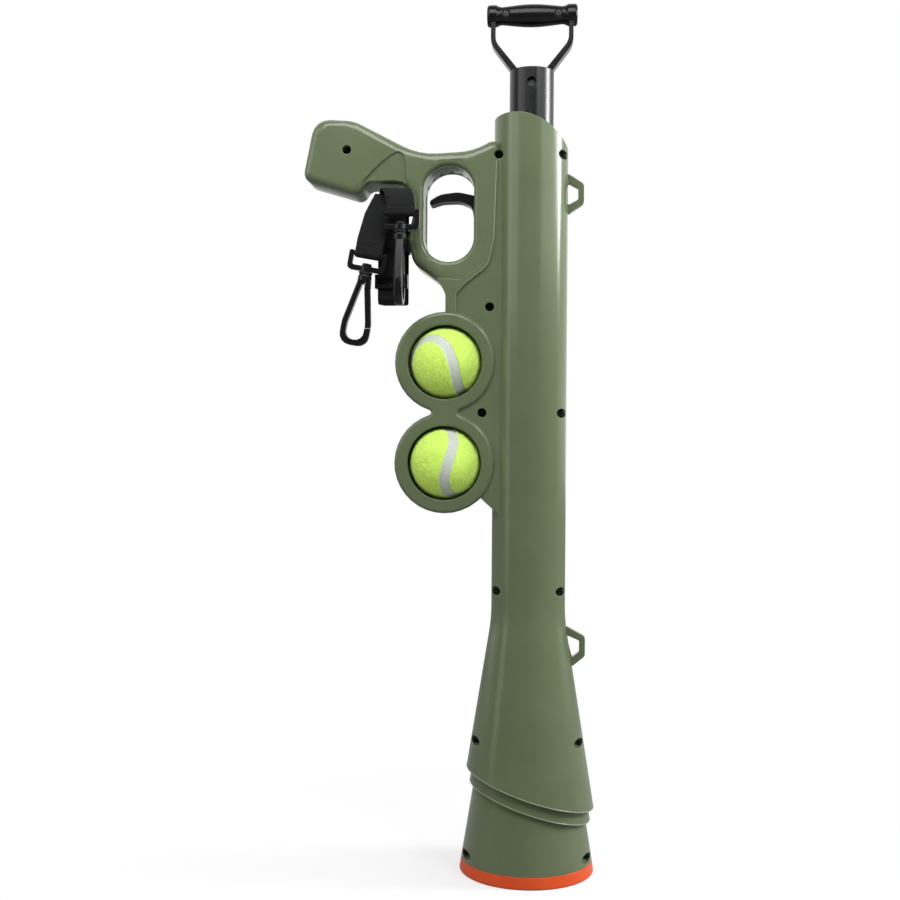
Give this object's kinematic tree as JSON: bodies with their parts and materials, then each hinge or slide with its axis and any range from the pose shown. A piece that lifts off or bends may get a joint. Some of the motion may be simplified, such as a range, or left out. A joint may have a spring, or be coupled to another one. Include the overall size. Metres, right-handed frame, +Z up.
{
  "type": "dog tennis ball launcher",
  "caption": "Hand-held spring launcher for tennis balls: flared barrel, pull handle with plunger, pistol grip with trigger, side ball holders and a carrying strap.",
  "frame": {"origin": "centre of the muzzle, on the plane of its ring's flat end, which the launcher stands on", "axes": "+Z up the barrel axis from muzzle to pull handle, +X away from the grip, +Y away from the viewer, through the parting plane"},
  "size_m": [0.2584, 0.1178, 0.763],
  "materials": {
    "olive_plastic": "semi-gloss moulded",
    "orange_plastic": "semi-gloss moulded",
    "tube_plastic": "gloss",
    "handle_plastic": "satin",
    "trigger_plastic": "semi-gloss moulded",
    "hook_plastic": "gloss",
    "bush_plastic": "plain moulded",
    "bumper_rubber": "matte",
    "ball_felt": "felt",
    "strap_webbing": "woven",
    "strap_elastic": "matte",
    "screw_steel": "blackened",
    "spring_steel": "drawn",
    "sear_steel": "stamped"
  },
  "bodies": {
    "launcher": {"front_shell": "olive_plastic", "rear_shell": "olive_plastic", "muzzle_ring": "orange_plastic", "shell_screws": "screw_steel", "spring_seat": "bush_plastic", "rear_guide": "bush_plastic", "front_bumper": "bumper_rubber", "ball_retainer": "bumper_rubber", "main_spring": "spring_steel", "trigger_pin": "screw_steel", "trigger_spring": "spring_steel", "strap": "strap_webbing", "strap_band": "strap_elastic", "strap_slider": "hook_plastic", "hook_eye_left": "hook_plastic", "hook_eye_right": "hook_plastic"},
    "plunger": {"plunger_tube": "tube_plastic", "plunger_head": "bush_plastic", "head_pin": "screw_steel", "handle_yoke": "handle_plastic", "handle_grip_front": "handle_plastic", "handle_grip_rear": "handle_plastic", "grip_screws": "screw_steel", "yoke_screw": "screw_steel"},
    "trigger": {"trigger": "trigger_plastic"},
    "sear": {"sear_plate": "sear_steel"},
    "ball_upper": {"tennis_ball_upper": "ball_felt"},
    "ball_lower": {"tennis_ball_lower": "ball_felt"},
    "left_hook": {"hook_left": "hook_plastic"},
    "left_gate": {"hook_gate_left": "hook_plastic"},
    "right_hook": {"hook_right": "hook_plastic"},
    "right_gate": {"hook_gate_right": "hook_plastic"}
  },
  "joints": [
    {"name": "plunger_pull", "type": "slide", "parent": "launcher", "child": "plunger", "axis": [0, 0, 1], "range_m": [0, 0.16], "stiffness_N_per_m": 450, "springref_m": -0.05, "deforming": ["main_spring"]},
    {"name": "trigger_pull", "type": "hinge", "parent": "launcher", "child": "trigger", "pos_m": [-0.04, 0, 0.5796], "axis": [0, 1, 0], "range_deg": [0, 12], "stiffness_Nm_per_rad": 0.3, "springref_deg": -17.19},
    {"name": "sear_slide", "type": "slide", "parent": "launcher", "child": "sear", "axis": [1, 0, 0], "range_m": [0, 0.00419]},
    {"name": "upper_ball_out", "type": "slide", "parent": "launcher", "child": "ball_upper", "axis": [0, -1, 0], "range_m": [0, 0.07]},
    {"name": "lower_ball_out", "type": "slide", "parent": "launcher", "child": "ball_lower", "axis": [0, -1, 0], "range_m": [0, 0.07]},
    {"name": "left_hook_swivel", "type": "hinge", "parent": "launcher", "child": "left_hook", "pos_m": [-0.14, -0.028, 0.5387], "axis": [0.1736, 0, 0.9848], "continuous": true},
    {"name": "left_gate_press", "type": "hinge", "parent": "left_hook", "child": "left_gate", "pos_m": [-0.14052, -0.028, 0.50985], "axis": [0, 1, 0], "range_deg": [0, 18], "stiffness_Nm_per_rad": 0.02, "springref_deg": -17.19},
    {"name": "right_hook_swivel", "type": "hinge", "parent": "launcher", "child": "right_hook", "pos_m": [-0.112, -0.038, 0.5737], "axis": [0, 0, 1], "continuous": true},
    {"name": "right_gate_press", "type": "hinge", "parent": "right_hook", "child": "right_gate", "pos_m": [-0.112, -0.0335, 0.5452], "axis": [-1, 0, 0], "range_deg": [0, 18], "stiffness_Nm_per_rad": 0.02, "springref_deg": -17.19}
  ],
  "couplings": [
    {"joint": "trigger_pull", "follows": "sear_slide", "rad_per_m": 50}
  ]
}
